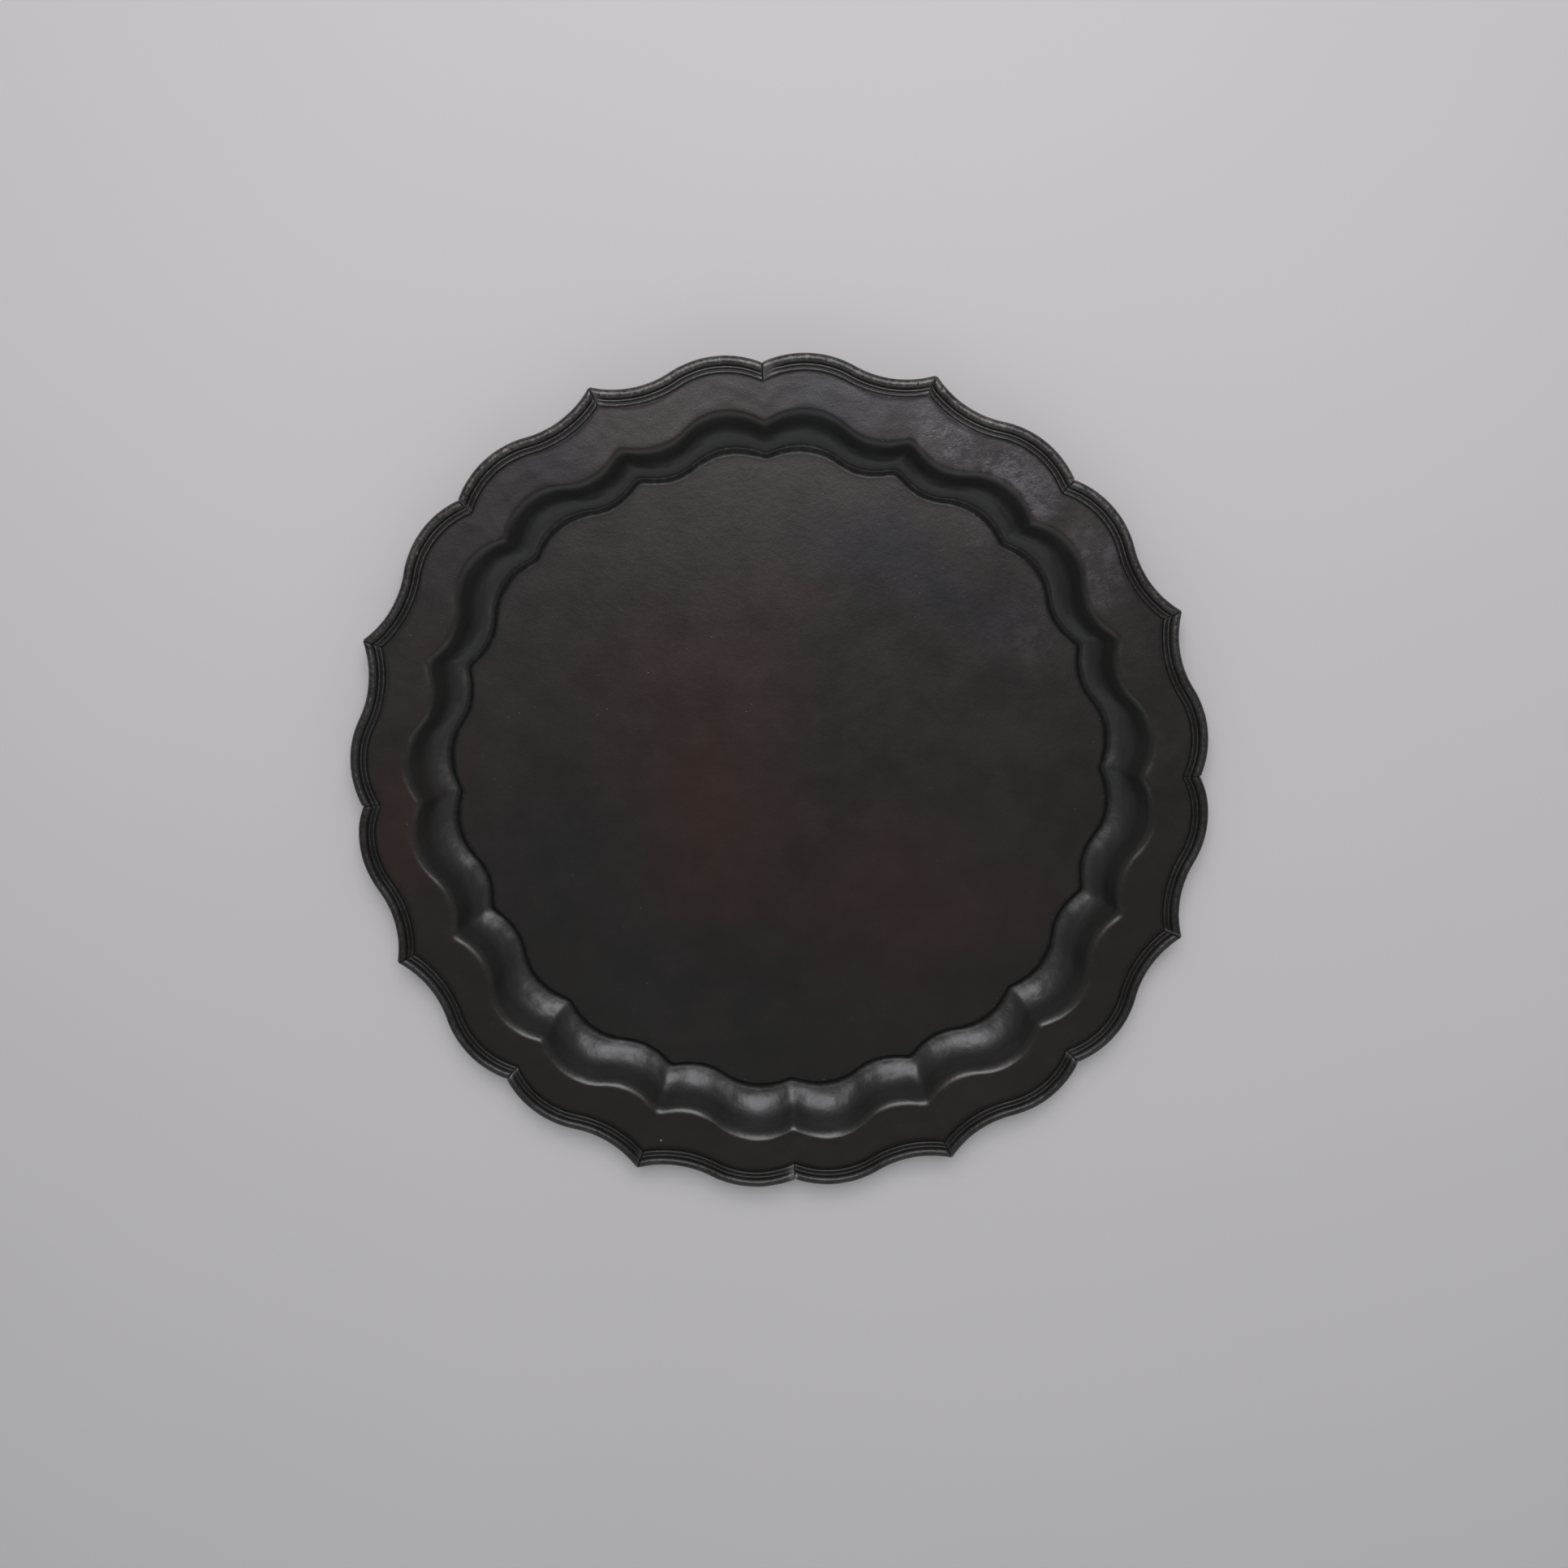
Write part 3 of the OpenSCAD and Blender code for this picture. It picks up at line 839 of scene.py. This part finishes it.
def sheet_material():
    n = Nodes("dark_copper")
    medium = n.noise(0.018, 5.0, 0.6, shift=3.1)
    small = n.noise(0.0035, 4.0, 0.65, shift=5.3)
    pale_mottle = pale_mottle_share(n)
    pits = n.times(n.ramp(n.cells(0.007), 0.03, 0.07, 1.0, 0.0), n.ramp(medium, 0.45, 0.6))
    patchy = n.ramp(n.noise(0.006, 5.0, 0.7, shift=8.0), 0.45, 0.68)
    rubbed = n.times(n.mask("worn"), patchy)
    blotchy = n.ramp(n.noise(0.003, 4.0, 0.6, shift=9.0), 0.2, 0.6, 0.5, 0.85)
    # Grime and painted shade in the groove and along the moulding's foot, in blotches
    grime_and_shade = n.times(n.mask("dirt_and_shade"), blotchy)
    glint_specks = n.ramp(n.noise(0.0026, 3.0, 0.6, shift=14.0), 0.64, 0.72)
    colour = patina_colour(n, medium, small)
    colour = n.mix(pale_mottle, colour, PALE_MOTTLE)
    colour = n.mix(n.times(pits, 0.6), colour, NEAR_BLACK)
    colour = n.mix(n.times(rubbed, 0.20), colour, DULL_COPPER)
    # Near black where the grime and painted shade are
    colour = n.mix(grime_and_shade, colour, NEAR_BLACK)
    # Pale specks along the floor's edge: painted glints
    colour = n.mix(n.times(n.times(n.mask("edge"), glint_specks), 0.5), colour, PALE_GREY)
    colour = n.mix(n.times(n.spots(BRIM_CHIPS, BRIM_CHIP_R), 0.7), colour, CHIP)
    n.set(n.shader.inputs["Base Color"], colour)
    sheet_gloss(n, medium, small, rubbed, grime_and_shade)
    sheet_relief(n, small, pale_mottle, pits)
    return n.material


def moulding_material():
    """The same metal, rubbed pale on its crests and paler on its top side, partly as a painted
    highlight, with painted shade in its valleys and along its foot, and dark mitre joints.
    """
    n = Nodes("moulding_wear_and_painted_light")
    medium = n.noise(0.012, 5.0, 0.6, shift=4.0)
    small = n.noise(0.0016, 4.0, 0.7, shift=6.0)
    patchy = n.math("MULTIPLY_ADD", n.noise(0.011, 3.0, 0.6, shift=7.0), 0.5, small)
    # Crests rubbed pale, most on the top side, where the paleness is partly real wear and partly a
    # painted highlight
    away = n.math("MULTIPLY_ADD", medium, -0.04, n.distance(TOP_SIDE))
    top_side = n.ramp(away, 0.06, 0.26, 1.0, 0.12)
    rubbed = n.times(n.times(n.mask("worn"), n.ramp(patchy, 0.62, 1.0)), top_side)
    # Painted shade in the valleys and along the foot, and dark mitre joints
    grime_and_shade = n.times(n.mask("dirt_and_shade"), n.ramp(small, 0.2, 0.6, 0.75, 1.0))
    colour = n.mix(n.ramp(medium, 0.35, 0.65), FLUTE, PATINA)
    colour = n.mix(n.times(rubbed, 0.45), colour, PALE_COPPER)
    colour = n.mix(n.times(n.ramp(n.mask("filed"), 0.35, 0.9), 0.7), colour, PALE_GREY)
    colour = n.mix(grime_and_shade, colour, NEAR_BLACK)
    colour = n.mix(n.times(n.spots(BEAD_CHIPS, BEAD_CHIP_R), 0.7), colour, CHIP)
    n.set(n.shader.inputs["Base Color"], colour)
    rough = n.ramp(small, 0.3, 0.7, 0.34, 0.5)
    n.set(n.shader.inputs["Roughness"], n.math("MULTIPLY_ADD", grime_and_shade, 0.3, rough, clamp=True))
    n.set(n.shader.inputs["Metallic"], n.math("MULTIPLY_ADD", rubbed, 0.45, 0.35))
    wax = n.math("MULTIPLY_ADD", top_side, 0.45, 0.30)
    n.set(n.shader.inputs["Coat Weight"], n.math("MULTIPLY_ADD", grime_and_shade, -0.5, wax, clamp=True))
    n.set(n.shader.inputs["Coat Roughness"], 0.38)
    normal = n.bump(small, 0.08 * MM)
    normal = n.bump(n.noise(0.0006, 2.0, 0.6), 0.02 * MM, normal)
    n.set(n.shader.inputs["Normal"], normal)
    n.set(n.shader.inputs["Coat Normal"], normal)
    return n.material


def floor_material():
    n = Nodes("pale_floor")
    cloudy = n.noise(0.25, 2.0, 0.55)
    n.set(n.shader.inputs["Base Color"], n.mix(cloudy, (0.83, 0.82, 0.80), (0.87, 0.86, 0.84)))
    n.set(n.shader.inputs["Roughness"], 0.6)
    return n.material


# ---- Putting it together ----

patina = sheet_material()
sheet = add_piece("hammered_sheet", *sheet_mesh())
sheet.data.materials.append(patina)
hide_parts("tray_sheet")
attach(sheet, "root")

moulding_metal = moulding_material()
for number, node in enumerate(LENGTHS, start=1):
    length = add_piece(f"rim_length_{number:02d}", *length_mesh(number))
    length.data.materials.append(moulding_metal)
    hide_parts(node)
    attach(length, "root")


# Half the width of the floor, in metres
FLOOR_REACH = 12.0
# Three soft lights, each with its place, what it points at, its size, watts and colour. Two hang
# past the +Y side of the tray, and the third lights it from farther off on the -Y side
LIGHTS = {
    "key": ((0.04, 0.72, 1.35), (0, 0, 0), (0.80, 0.78), 6.4, (0.955, 0.94, 1.0)),
    "wide": ((0.04, 0.72, 1.38), (0, 0, 0), (1.3, 1.3), 6.8, (1.0, 0.94, 0.98)),
    "bounce": ((0.0, -1.60, 1.00), (0, 0, 0.10), (3.4, 1.7), 5.2, (0.94, 0.98, 1.0)),
}
WORLD_COLOUR = (0.80, 0.84, 0.90, 1)
WORLD_STRENGTH = 0.16
# The camera's lens in millimetres, how it is turned, and its place from the middle of the rim's
# top, along its own axes
LENS = 39.13
SENSOR_W = 36
CAMERA_YAW, CAMERA_PITCH, CAMERA_ROLL = radians(1.0), radians(-12.37), radians(-2.27)
CAMERA_BACK = (0.002, 0.0035, 0.7253)


def add_floor():
    mesh = bpy.data.meshes.new("floor")
    corners = [(x * FLOOR_REACH, y * FLOOR_REACH, 0) for x, y in ((-1, -1), (1, -1), (1, 1), (-1, 1))]
    mesh.from_pydata(corners, [], [(0, 1, 2, 3)])
    floor = bpy.data.objects.new("floor", mesh)
    bpy.context.scene.collection.objects.link(floor)
    floor.data.materials.append(floor_material())


def add_area_light(name, at, aim, size, power, colour):
    light = bpy.data.lights.new(name, "AREA")
    light.shape = "RECTANGLE"
    light.size, light.size_y = size
    light.energy = power
    light.color = colour
    lamp = bpy.data.objects.new(name, light)
    lamp.location = at
    lamp.rotation_euler = (Vector(aim) - Vector(at)).to_track_quat("-Z", "Y").to_euler()
    lamp.visible_camera = False
    bpy.context.scene.collection.objects.link(lamp)


def add_camera():
    """The photograph is taken from almost straight in front of the well, from a little above."""
    rotation = Matrix.Rotation(CAMERA_YAW, 3, "Y")
    rotation = rotation @ Matrix.Rotation(CAMERA_PITCH, 3, "X")
    rotation = rotation @ Matrix.Rotation(CAMERA_ROLL, 3, "Z")
    data = bpy.data.cameras.new("camera")
    data.sensor_width = SENSOR_W
    data.lens = LENS
    data.clip_start = 0.01
    camera = bpy.data.objects.new("camera", data)
    at = rotation @ Vector(CAMERA_BACK) + Vector((0, 0, RIM_TOP))
    camera.matrix_world = Matrix.Translation(at) @ rotation.to_4x4()
    bpy.context.scene.collection.objects.link(camera)
    bpy.context.scene.camera = camera


def add_world():
    world = bpy.data.worlds.new("studio")
    world.use_nodes = True
    background = world.node_tree.nodes["Background"]
    background.inputs["Color"].default_value = WORLD_COLOUR
    background.inputs["Strength"].default_value = WORLD_STRENGTH
    bpy.context.scene.world = world


add_floor()
add_world()
for name, settings in LIGHTS.items():
    add_area_light(name, *settings)
add_camera()
bpy.context.scene.view_settings.view_transform = "Standard"
